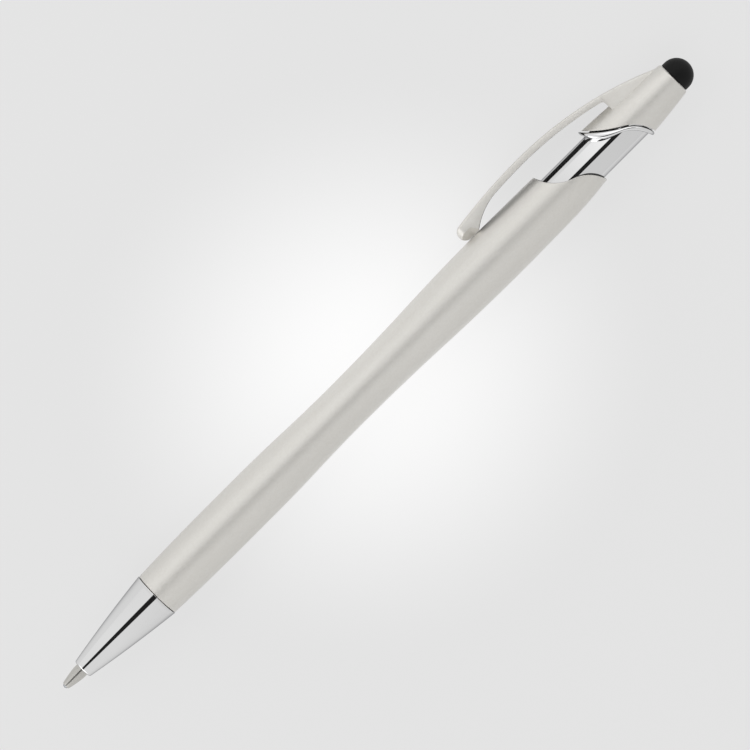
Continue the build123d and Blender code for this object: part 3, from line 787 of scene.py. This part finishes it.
class PEN_OT_refill(bpy.types.Operator):
    """Writing ball, the turned point that holds it, and the return spring behind them."""

    bl_idname = "pen.refill"
    bl_label = "Ball, point and spring"

    def execute(self, context):
        """Makes the three pieces one after the other."""
        sizes = context.scene.pen_refill
        paints = context.scene.pen_finishes
        self.ball(sizes, paints)
        self.point(sizes, paints)
        self.coil(sizes, paints)
        return {"FINISHED"}

    def ball(self, sizes, paints):
        """Half a circle from pole to pole, turned round the pen."""
        profile = ball_line(sizes.ball_radius, sizes.ball_radius, np.linspace(np.pi, 0, 33))
        carbide = turned_metal("ground_tungsten_carbide", paints.carbide, roughness=0.14, pitch=0.1 * MM)
        mesh = grid_mesh("ball_skin", rings(angles(), turned(profile)), False)
        place("ball_sphere", [mesh], [carbide], "ball", "tungsten_carbide", "writing_ball")

    def point(self, sizes, paints):
        """A turned profile: the ball's seat, the lip, the taper and the shank, the spigot and the bores."""
        seat_radius = sizes.ball_radius + sizes.ball_gap
        at_feed = np.arcsin(sizes.feed_radius / seat_radius)
        at_lip = np.arccos((sizes.lip - sizes.ball_radius) / seat_radius)
        seat = ball_line(sizes.ball_radius, seat_radius, np.linspace(at_feed, at_lip, 10))
        lip = (sizes.lip, sizes.lip_radius)
        taper = bulged(lip, (sizes.taper_end, sizes.point_radius), sizes.taper_bulge, 16)
        soft = sizes.edge_round
        tail = [
            (sizes.point_back - soft, sizes.point_radius),
            (sizes.point_back, sizes.point_radius - soft),
            (sizes.point_back, sizes.spigot_radius),
            (sizes.spigot_back - soft, sizes.spigot_radius),
            (sizes.spigot_back, sizes.spigot_radius - soft),
            (sizes.spigot_back, sizes.channel_radius),
            (sizes.feed_back, sizes.channel_radius),
            (sizes.feed_back, sizes.feed_radius),
        ]
        profile = np.concatenate((seat, quarter(lip, soft, 1), taper[1:], tail))
        nickel = turned_metal("turned_nickel_silver", paints.nickel, roughness=0.16, pitch=0.16 * MM)
        mesh = grid_mesh("point_skin", rings(angles(), turned(profile)), True)
        place("point_shell", [mesh], [nickel], "refill", "nickel_silver", "refill_point")

    def coil(self, sizes, paints):
        """A circle carried along a helix; its first and last rows are points that close the wire.

        The circle's cosine lies out from the axis. Its sine lies across the wire, which leans
        by the helix's slope, so a part of it goes along the pen and a part back round it.
        """
        whole = 2 * np.pi * sizes.coil_turns
        turn = np.pad(np.linspace(0, whole, 48 * sizes.coil_turns + 1), 1, mode="edge")[:, None]
        wire = np.full(turn.shape, sizes.wire_radius)
        wire[[0, -1]] = 0
        around = np.linspace(0, 2 * np.pi, 16, endpoint=False)
        rise = (sizes.coil_back - sizes.coil_front) / whole
        slope = np.arctan(rise / sizes.coil_radius)
        out = sizes.coil_radius + wire * np.cos(around)
        across = wire * np.sin(around)
        station = sizes.coil_front + rise * turn + across * np.cos(slope)
        bearing = turn - across * np.sin(slope) / sizes.coil_radius
        steel = turned_metal("drawn_spring_steel", paints.steel, roughness=0.22, pitch=0.1 * MM)
        points = in_frame(station, out * np.cos(bearing), out * np.sin(bearing))
        mesh = grid_mesh("spring_skin", points, False)
        spring = place("spring_coil", [mesh], [steel], None, "spring_steel", "return_spring")
        # In the pen the front end stays at its seat and the back end goes with the refill's ears; these
        # points of the two ends are worked out here but not used
        ends = in_frame(np.array((sizes.coil_front, sizes.coil_back)), 0.0, 0.0)
        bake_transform(spring)


def cap_line():
    """Profile of the cap's outside: one arc that starts slightly inwards."""
    sizes = bpy.context.scene.pen_plunger
    front = (sizes.cap_start, sizes.cap_front_radius)
    heading = (np.cos(sizes.cap_lead), -np.sin(sizes.cap_lead))
    return tangent_arc(front, (sizes.cap_back, sizes.cap_back_radius), heading, 48)[0]


def ring_waves(gap=0.0):
    """Waves of the trim ring's front and back; a gap moves them to the cap's edge."""
    sizes = bpy.context.scene.pen_plunger
    front = (sizes.ring_wave, sizes.ring_middle, sizes.ring_bottom)
    back = (sizes.ring_back_wave, sizes.ring_back_middle, sizes.ring_back_bottom)
    front_angle = bpy.context.scene.pen_barrel.wave_angle
    return wave_line(front, front_angle, gap), wave_line(back, sizes.ring_back_angle, gap)


class PEN_OT_plunger(bpy.types.Operator):
    """Chrome tube that slides in the barrel, and the chrome trim ring along the cap's edge."""

    bl_idname = "pen.plunger"
    bl_label = "Tube and trim ring"

    def execute(self, context):
        """Makes the two pieces with one plating."""
        sizes = context.scene.pen_plunger
        chrome = chrome_plate()
        self.tube(sizes, chrome)
        self.ring(sizes, chrome)
        return {"FINISHED"}

    def tube(self, sizes, chrome):
        """A turned profile with rounded outer edges."""
        soft = sizes.tube_round
        profile = np.concatenate(
            (
                [(sizes.tube_front, sizes.tube_bore)],
                quarter((sizes.tube_front, sizes.tube_radius), soft, 1),
                quarter((sizes.tube_back, sizes.tube_radius), soft, -1)[::-1],
                [(sizes.tube_back, sizes.tube_bore)],
            )
        )
        mesh = grid_mesh("tube_skin", rings(angles(), turned(profile)), True)
        place("tube_shell", [mesh], [chrome], "plunger", "chrome_plate", "plunger_tube")

    def ring(self, sizes, chrome):
        """A bead as wide as the gap between two waves: its height goes with a full sine across it."""
        angle = angles()
        line = cap_line()
        front_wave, back_wave = ring_waves()
        near, far = wave_edge(front_wave, line, angle), wave_edge(back_wave, line, angle)
        across = np.linspace(0, np.pi, 17)[:, None]
        station = near + (far - near) * (1 - np.cos(across)) / 2
        rise = (sizes.ring_proud + sizes.ring_sink) * np.sin(across) ** FULLER
        foot = sizes.tube_radius + sizes.seat
        points = rings(
            angle,
            (wave_station(front_wave, foot * np.cos(angle)), foot),
            (station, line_at(line, station) - sizes.ring_sink + rise),
            (wave_station(back_wave, foot * np.cos(angle)), foot),
        )
        mesh = grid_mesh("ring_skin", points, True)
        place("trim_bead", [mesh], [chrome], "plunger", "chrome_plate", "trim_ring")


class PEN_OT_cap(bpy.types.Operator):
    """Cap with the clip that is moulded in one with it."""

    bl_idname = "pen.cap"
    bl_label = "Cap and clip"

    def execute(self, context):
        """The cap is a turned shell that starts at the wave, the clip a section carried along the pen."""
        shell = self.shell(context)
        # The cap's wavy cut face is painted black as shade, a dark line along the trim ring
        painted_shade_faces = np.arange(len(shell))[:, None] == 0
        meshes = [
            grid_mesh("cap_skin", shell, True, painted_shade_faces),
            grid_mesh("clip_skin", *self.clip(context)),
        ]
        place("cap_and_clip", meshes, [pearl_lacquer(), painted_shade_finish()], "plunger", "pearl_lacquer", "cap")
        return {"FINISHED"}

    def shell(self, context):
        """Rings that slide from the wavy rim into plain rings, then the back face and the bores."""
        sizes = context.scene.pen_plunger
        angle = angles()
        line = cap_line()
        wave = ring_waves(sizes.ring_gap)[1]
        edge = wave_edge(wave, line, angle)
        soft = sizes.rim_round
        sliding = edge + soft + (sizes.cap_still - edge - soft) * np.linspace(0, 1, TO_WAVE)[:, None]
        turn = np.linspace(np.pi / 2, 0, ON_CORNER)[:-1, None]
        still = line[(line[:, 0] > sizes.cap_still) & (line[:, 0] < sizes.cap_back - sizes.cap_round)]
        back_radius = line_at(line, sizes.cap_back - sizes.cap_round)
        foot = sizes.tube_radius + sizes.seat
        bore = [
            (sizes.cap_back, sizes.stem_bore),
            (sizes.flange_back, sizes.stem_bore),
            (sizes.flange_back, sizes.flange_bore),
            (sizes.flange_front, sizes.flange_bore),
            (sizes.flange_front, foot),
        ]
        return rings(
            angle,
            (wave_station(wave, foot * np.cos(angle)), foot),
            (edge + soft * (1 - np.sin(turn)), line_at(line, edge + soft) - soft * (1 - np.cos(turn))),
            (sliding, line_at(line, sliding)),
            turned(still),
            turned(quarter((sizes.cap_back, back_radius), sizes.cap_round, -1)[::-1]),
            turned(bore),
        )

    def clip(self, context):
        """Sections across the pen, from the foot's round toe to one point inside the cap.

        Behind the root, the sections stay outside a wall round the cap's bores. The middle of the arch's
        underside is painted black as shade, which the chrome tube mirrors as a dark band.
        """
        sizes = context.scene.pen_clip
        cap = context.scene.pen_plunger
        stations, top, low = self.side_lines(sizes, cap)
        reach, height, below = self.sections(sizes, stations, top, low)
        wall_stations = (sizes.root, cap.flange_front, cap.flange_back, sizes.fin)
        bores = np.array((cap.tube_radius, cap.tube_radius, cap.flange_bore, cap.stem_bore))
        wall = np.interp(stations, wall_stations, bores + sizes.root_cover)[:, None]
        rooted = np.maximum(height, np.sqrt(np.maximum(wall**2 - reach**2, 0)))
        height = np.where(stations[:, None] > sizes.root, rooted, height)
        end_height = np.full((1, height.shape[1]), (top[-1, 0] + low[-1, 0]) / 2)
        points = in_frame(
            np.append(stations, stations[-1])[:, None],
            np.concatenate((height, end_height)),
            np.concatenate((reach, np.zeros_like(end_height))),
        )
        # Painted shade: the underside from the lug back to the middle of the arch takes the black
        arch = (stations > sizes.lug_back) & (stations < sizes.painted_shade_back)
        return points, False, below & arch[:, None]

    def side_lines(self, sizes, cap):
        """Stations along the clip, with the heights of its top and of its underside there.

        Both lines are rows of arcs that start at the toe's foremost point. The top goes over the
        crown and the root down to the fin, the underside round the foot and through the slot.
        """
        crown = (sizes.crown, sizes.reach)
        roof = (sizes.crown, sizes.reach - sizes.thickness)
        root = (sizes.root, sizes.root_height)
        foot = (sizes.toe, sizes.foot_top)
        notch = (sizes.flank, sizes.flank_height)
        back, heading = tangent_arc(crown, root, (1, 0))
        fin = tangent_arc(root, (sizes.fin, sizes.fin_height), heading)[0]
        front, heading = tangent_arc(crown, foot, (-1, 0))
        slope = (sizes.reach - sizes.foot_top) / (sizes.crown - sizes.toe)
        sole_front = (sizes.toe + (sizes.foot_top - sizes.foot_bottom) * slope, sizes.foot_bottom)
        toe = tangent_arc(foot, sole_front, heading, 97)[0]
        tip = int(np.argmin(toe[:, 0]))
        under, heading = tangent_arc(roof, notch, (-1, 0))
        flank = tangent_arc(notch, (sizes.sole_back, sizes.foot_bottom), heading)[0]
        slot_end = (sizes.root - sizes.slot_round, sizes.slot_height)
        slot, heading = tangent_arc(roof, slot_end, (1, 0))
        nook = tangent_arc(slot_end, (sizes.root, sizes.slot_height - sizes.slot_round), heading)[0]
        outer = np.concatenate((toe[tip::-1], front[-2::-1], back[1:], fin[1:]))
        below_slot = [(sizes.root + cap.seat, cap.stem_bore), (sizes.fin, cap.stem_bore)]
        lower = np.concatenate((toe[tip:], flank[::-1], under[-2::-1], slot[1:], nook[1:], below_slot))
        stations = np.unique(np.concatenate((outer[:, 0], lower[:, 0])).round(7))
        top = line_at(outer, stations)[:, None]
        return stations, top, np.minimum(line_at(lower, stations)[:, None], top)

    def half_width(self, sizes, stations):
        """Half the clip's width: it grows to the root, tapers along an arc, and has an elliptic toe."""
        widening = (sizes.root - sizes.plan_front, (sizes.root_width - sizes.foot_width) / 2)
        fin_end = (sizes.fin + sizes.overrun, sizes.tip_width / 2)
        taper = tangent_arc((sizes.root, sizes.root_width / 2), fin_end, widening)[0]
        plan = np.concatenate(([(sizes.plan_front, sizes.foot_width / 2)], taper))
        short = np.clip((stations[0] + sizes.toe_length - stations) / sizes.toe_length, 0, 1)
        return (line_at(plan, stations) * np.sqrt(1 - short**2))[:, None]

    def sections(self, sizes, stations, top, low):
        """Distances from the clip's middle and heights of each section, and the columns under its ledge.

        A section is narrower at the top, with rounded corners, and steps in at the ledge to a lug
        that is narrower at the sole. It runs down one side, along the underside and up the other side.
        """
        half = self.half_width(sizes, stations)
        ledge_stations = (sizes.lug_front, sizes.lug_crest, sizes.lug_level, sizes.lug_back)
        ledge_heights = (sizes.ledge_start, sizes.ledge_height, sizes.ledge_height, sizes.foot_bottom)
        ledge = np.interp(stations, ledge_stations, ledge_heights, right=0)[:, None]
        ledge = np.clip(ledge, low, top)
        lean, tall = np.tan(sizes.side_lean), top - ledge
        soft = np.minimum(sizes.edge_round, np.minimum(tall, half) / 2)
        turn_out = np.linspace(0, np.pi / 2 - sizes.side_lean, 8)
        outer_corner = (
            half - (tall - soft) * lean - soft * (1 / np.cos(sizes.side_lean) - np.sin(turn_out)),
            top - soft * (1 - np.cos(turn_out)),
        )
        inside = np.minimum(sizes.inner_round, np.minimum(tall, half) / 4)
        turn_in = np.linspace(-sizes.side_lean, np.pi / 2, 8)
        inner_corner = (
            half - inside * lean - inside * (1 / np.cos(sizes.side_lean) - np.cos(turn_in)),
            ledge + inside * (1 - np.sin(turn_in)),
        )
        lug_half = half - np.minimum(sizes.lug_inset, half / 2)
        sole_half = np.maximum(lug_half - (ledge - low) * np.tan(sizes.lug_lean), half / 4)
        curl = np.minimum(sizes.inner_round, np.minimum(ledge - low, sole_half) / 2)
        turn_lug = np.linspace(0, np.pi / 2, ON_CORNER)
        lug_corner = (
            np.concatenate((lug_half, sole_half - curl * (1 - np.cos(turn_lug))), axis=1),
            np.concatenate((ledge, low + curl * (1 - np.sin(turn_lug))), axis=1),
        )
        flat = np.linspace(1, -1, 13)[1:-1]
        underside = ((sole_half - curl) * flat, np.broadcast_to(low, (len(stations), len(flat))))
        right = [outer_corner, inner_corner, lug_corner]
        left = [(-reach[:, ::-1], height[:, ::-1]) for reach, height in right[::-1]]
        reach, height = (np.concatenate(parts, axis=1) for parts in zip(*right, underside, *left))
        column = np.arange(reach.shape[1])
        sides = turn_out.size + turn_in.size
        return reach, height, (column >= sides) & (column < column.size - sides - 1)


class PEN_OT_stylus_tip(bpy.types.Operator):
    """Hollow rubber dome that touches the screen."""

    bl_idname = "pen.stylus_tip"
    bl_label = "Rubber tip"

    def execute(self, context):
        """A turned wall between two poles: the dome, its base with the snap hole, and the hollow inside."""
        sizes = context.scene.pen_plunger
        paints = context.scene.pen_finishes
        outside = ball_line(sizes.dome_centre, sizes.dome_radius, np.linspace(0, np.pi / 2, 25))
        hollow = sizes.dome_radius - sizes.dome_wall
        at_web = np.arccos((sizes.dome_web - sizes.dome_centre) / hollow)
        inside = ball_line(sizes.dome_centre, hollow, np.linspace(at_web, 0, 17))
        base = quarter((sizes.dome_base, sizes.dome_radius), sizes.dome_round, 1)[::-1]
        snap = [(sizes.dome_base, sizes.dome_hole), (sizes.dome_web, sizes.dome_hole)]
        profile = np.concatenate((outside, base, snap, inside))
        rubber = moulded_plastic(
            "moulded_silicone_rubber", paints.rubber, roughness=0.55, grain=0.12 * MM, shine=0.2
        )
        mesh = grid_mesh("dome_skin", rings(angles(), turned(profile)), False)
        place("rubber_dome", [mesh], [rubber], "plunger", "silicone_rubber", "stylus_dome")
        return {"FINISHED"}


class PEN_OT_works(bpy.types.Operator):
    """Finishes of the works inside, which keep their solids."""

    bl_idname = "pen.works"
    bl_label = "Works inside"

    def execute(self, context):
        """Each solid's own material slots take the finish of the real piece."""
        paints = context.scene.pen_finishes
        acetal = moulded_plastic("moulded_acetal", paints.acetal, roughness=0.42, grain=0.2 * MM)
        brass = turned_metal("turned_brass", paints.brass, roughness=0.2, pitch=0.2 * MM)
        refill = moulded_plastic("extruded_polypropylene", paints.refill, roughness=0.35, grain=0.3 * MM)
        ink = moulded_plastic("black_ball_pen_ink", paints.ink, roughness=0.2, grain=0.3 * MM, coat=0.5)
        carbon_abs = moulded_plastic(
            "moulded_carbon_filled_abs", paints.carbon_abs, roughness=0.5, grain=0.15 * MM
        )
        finishes = {
            "thread_bush": brass,
            "refill_tube": refill,
            "ink_column": ink,
            "cam_sleeve": acetal,
            "rotor_cam": acetal,
            "push_cam": acetal,
            "stylus_holder": carbon_abs,
        }
        for node, material in finishes.items():
            mesh = frame["nodes"][node].data
            mesh.materials.clear()
            mesh.materials.append(material)
        return {"FINISHED"}


def stand(data, right, up, back, spot):
    """Camera or lamp that stands at a spot and looks away from back."""
    thing = bpy.data.objects.new(data.name, data)
    pose = np.eye(4)
    pose[:3] = np.stack((right, up, back, spot), axis=1)
    thing.matrix_world = Matrix(pose.tolist())
    bpy.context.scene.collection.objects.link(thing)
    return thing


class PEN_OT_stage(bpy.types.Operator):
    """Floor, lamp, sky and camera."""

    bl_idname = "pen.stage"
    bl_label = "Stage"

    def execute(self, context):
        """Sets floor, sky, camera and lamp round the pen's middle."""
        scene = context.scene
        sizes = scene.pen_stage
        scene.view_settings.view_transform = "Standard"
        middle = in_frame(sizes.pen_length / 2, sizes.aim_aside, 0.0)
        self.floor(sizes, middle)
        self.sky(scene, sizes)
        self.camera(scene, sizes, middle)
        self.softbox(sizes, middle)
        return {"FINISHED"}

    def camera(self, scene, sizes, middle):
        """The camera faces the pen's flat side, with the writing tip at the lower left."""
        back = SIDEWAYS * np.cos(sizes.camera_lean) + ALONG * np.sin(sizes.camera_lean)
        along = np.cross(CLIPWARD, back)
        right, up = (along - CLIPWARD) / np.sqrt(2), (along + CLIPWARD) / np.sqrt(2)
        eye = bpy.data.cameras.new("camera")
        eye.sensor_width = 36.0
        eye.lens = eye.sensor_width * sizes.distance / sizes.view_width
        eye.clip_start, eye.clip_end = 0.01, 20.0
        scene.camera = stand(eye, right, up, back, middle + back * sizes.distance)

    def softbox(self, sizes, middle):
        """Square lamp above the pen on the clip's side, which chrome doesn't mirror."""
        key = bpy.data.lights.new("key_softbox", "AREA")
        key.shape = "SQUARE"
        key.size = sizes.softbox_width
        key.energy = sizes.softbox_power
        aside = SIDEWAYS * sizes.softbox_height + CLIPWARD * sizes.softbox_aside
        offset = aside - ALONG * sizes.softbox_ahead
        back = offset / np.linalg.norm(offset)
        up = np.cross(ALONG, back)
        up /= np.linalg.norm(up)
        lamp = stand(key, np.cross(up, back), up, back, middle + offset)
        lamp.visible_glossy = False

    def floor(self, sizes, middle):
        """Wide flat grid under the pen: a matt card that takes the shadow.

        It also glows for the camera, in mirrors and through clear pieces, and fades with the
        distance from the pen's middle.
        """
        span = np.linspace(-sizes.floor_reach, sizes.floor_reach, 11)
        across, along = np.meshgrid(span, span)
        points = np.stack((along, across, np.zeros_like(along)), axis=-1)
        index = np.arange(along.size).reshape(along.shape)
        corners = (index[:-1, :-1], index[1:, :-1], index[1:, 1:], index[:-1, 1:])
        faces = np.stack(corners, axis=-1).reshape(-1, 4)
        mesh = bpy.data.meshes.new("floor")
        mesh.from_pydata(points.reshape(-1, 3).tolist(), [], faces.tolist())
        material, tree, spot = new_finish("matt_white_card")
        offset = (-middle[0], -middle[1], 0.0)
        near = add_node(tree, "ShaderNodeMapping", {"Vector": spot, "Location": offset})
        reach = add_node(tree, "ShaderNodeVectorMath", {0: near.outputs[0]}, operation="LENGTH")
        fade = add_node(
            tree,
            "ShaderNodeMapRange",
            {0: reach.outputs["Value"], 1: 0.0, 2: sizes.glow_radius},
            interpolation_type="SMOOTHSTEP",
        )
        tone = add_node(
            tree,
            "ShaderNodeMix",
            {0: fade.outputs[0], 6: rgba(sizes.glow), 7: rgba(sizes.floor)},
            data_type="RGBA",
        )
        path = add_node(tree, "ShaderNodeLightPath").outputs
        mirrored = add_node(
            tree, "ShaderNodeMath", {0: path["Is Camera Ray"], 1: path["Is Glossy Ray"]}, operation="ADD"
        )
        seen = add_node(
            tree, "ShaderNodeMath", {0: mirrored.outputs[0], 1: path["Is Transmission Ray"]}, operation="ADD"
        )
        share = add_node(
            tree,
            "ShaderNodeMath",
            {0: seen.outputs[0], 1: sizes.glow_share},
            operation="MULTIPLY",
            use_clamp=True,
        )
        glow = add_node(tree, "ShaderNodeEmission", {"Color": tone.outputs[2], "Strength": share.outputs[0]})
        card = add_node(tree, "ShaderNodeBsdfDiffuse", {"Color": rgba(sizes.card)})
        both = add_node(tree, "ShaderNodeAddShader", {0: glow.outputs[0], 1: card.outputs[0]})
        show(tree, both)
        mesh.materials.append(material)
        floor = bpy.data.objects.new("floor", mesh)
        bpy.context.scene.collection.objects.link(floor)

    def sky(self, scene, sizes):
        """White tent, whose light goes with the cosines between a direction and the pen's own three.

        It is dimmer away from the clip and brighter towards both ends of the pen. A black strip
        hangs over the pen, and the chrome mirrors it as a line.
        """
        world = bpy.data.worlds.new("light_tent")
        world.use_nodes = True
        tree = world.node_tree
        tree.nodes.clear()
        way = add_node(tree, "ShaderNodeTexCoord").outputs["Generated"]
        cosines = [
            add_node(tree, "ShaderNodeVectorMath", {0: way, 1: axis.tolist()}, operation="DOT_PRODUCT")
            for axis in (CLIPWARD, SIDEWAYS, ALONG)
        ]
        to_clip, to_eye, to_cap = (cosine.outputs["Value"] for cosine in cosines)
        # Cosines between which the tent goes from one level to the next
        side_zone = {1: -0.25, 2: 0.25}
        cap_zone = {1: -0.12, 2: 0.22}
        tip_zone = {1: -0.35, 2: -0.05}
        end_zone = {1: -0.85, 2: -0.5}
        clip_half = add_node(
            tree, "ShaderNodeMapRange", {0: to_cap, **cap_zone, 3: sizes.clip_side, 4: sizes.cap_end}
        )
        both_halves = add_node(
            tree, "ShaderNodeMapRange", {0: to_clip, **side_zone, 3: sizes.far_side, 4: clip_half.outputs[0]}
        )
        tip_half = add_node(tree, "ShaderNodeMapRange", {0: to_cap, **tip_zone, 3: sizes.tip_end, 4: 0.0})
        end_lamp = add_node(tree, "ShaderNodeMapRange", {0: to_cap, **end_zone, 3: sizes.end_lamp, 4: 0.0})
        front = add_node(
            tree, "ShaderNodeMath", {0: tip_half.outputs[0], 1: end_lamp.outputs[0]}, operation="ADD"
        )
        tent = add_node(
            tree, "ShaderNodeMath", {0: both_halves.outputs[0], 1: front.outputs[0]}, operation="ADD"
        )
        # The strip spans the flag's angle to both sides and hangs on the camera's side only
        edge, soft_edge, overhead = float(np.sin(sizes.flag_angle)), 0.02, 0.7
        aside = add_node(tree, "ShaderNodeMath", {0: to_clip}, operation="ABSOLUTE")
        flag = add_node(
            tree,
            "ShaderNodeMapRange",
            {0: aside.outputs[0], 1: edge, 2: edge + soft_edge, 3: sizes.flag_light, 4: 1.0},
        )
        beyond = add_node(tree, "ShaderNodeMath", {0: to_eye, 1: overhead}, operation="LESS_THAN")
        clear = add_node(
            tree, "ShaderNodeMath", {0: flag.outputs[0], 1: beyond.outputs[0]}, operation="MAXIMUM"
        )
        light = add_node(
            tree, "ShaderNodeMath", {0: clear.outputs[0], 1: tent.outputs[0]}, operation="MULTIPLY"
        )
        white = (1.0, 1.0, 1.0, 1.0)
        sky = add_node(tree, "ShaderNodeBackground", {"Color": white, "Strength": light.outputs[0]})
        add_node(tree, "ShaderNodeOutputWorld", {"Surface": sky.outputs[0]})
        scene.world = world


class PEN_PT_panel(bpy.types.Panel):
    """Buttons for the pen's pieces and its stage."""

    bl_idname = "PEN_PT_panel"
    bl_label = "Stylus pen"
    bl_space_type = "VIEW_3D"
    bl_region_type = "UI"
    bl_category = "Pen"

    def draw(self, context):
        for operator in OPERATORS:
            self.layout.operator(operator.bl_idname)


SETTINGS = {
    "pen_nose": NoseSizes,
    "pen_refill": RefillSizes,
    "pen_barrel": BarrelSizes,
    "pen_plunger": PlungerSizes,
    "pen_clip": ClipSizes,
    "pen_finishes": Finishes,
    "pen_stage": StageSizes,
}
OPERATORS = (
    PEN_OT_barrel,
    PEN_OT_nose,
    PEN_OT_refill,
    PEN_OT_plunger,
    PEN_OT_cap,
    PEN_OT_stylus_tip,
    PEN_OT_works,
    PEN_OT_stage,
)


def register():
    """Registers the classes and hangs the settings on the scene."""
    for kind in (*SETTINGS.values(), *OPERATORS, PEN_PT_panel):
        bpy.utils.register_class(kind)
    for name, group in SETTINGS.items():
        setattr(bpy.types.Scene, name, bpy.props.PointerProperty(type=group))


def unregister():
    """Takes the settings and the classes away again."""
    for name in SETTINGS:
        delattr(bpy.types.Scene, name)
    for kind in reversed((*SETTINGS.values(), *OPERATORS, PEN_PT_panel)):
        bpy.utils.unregister_class(kind)


def main():
    """Builds every piece and the stage."""
    register()
    bpy.ops.pen.barrel()
    bpy.ops.pen.nose()
    bpy.ops.pen.refill()
    bpy.ops.pen.plunger()
    bpy.ops.pen.cap()
    bpy.ops.pen.stylus_tip()
    bpy.ops.pen.works()
    bpy.ops.pen.stage()


if __name__ == "__main__":
    main()
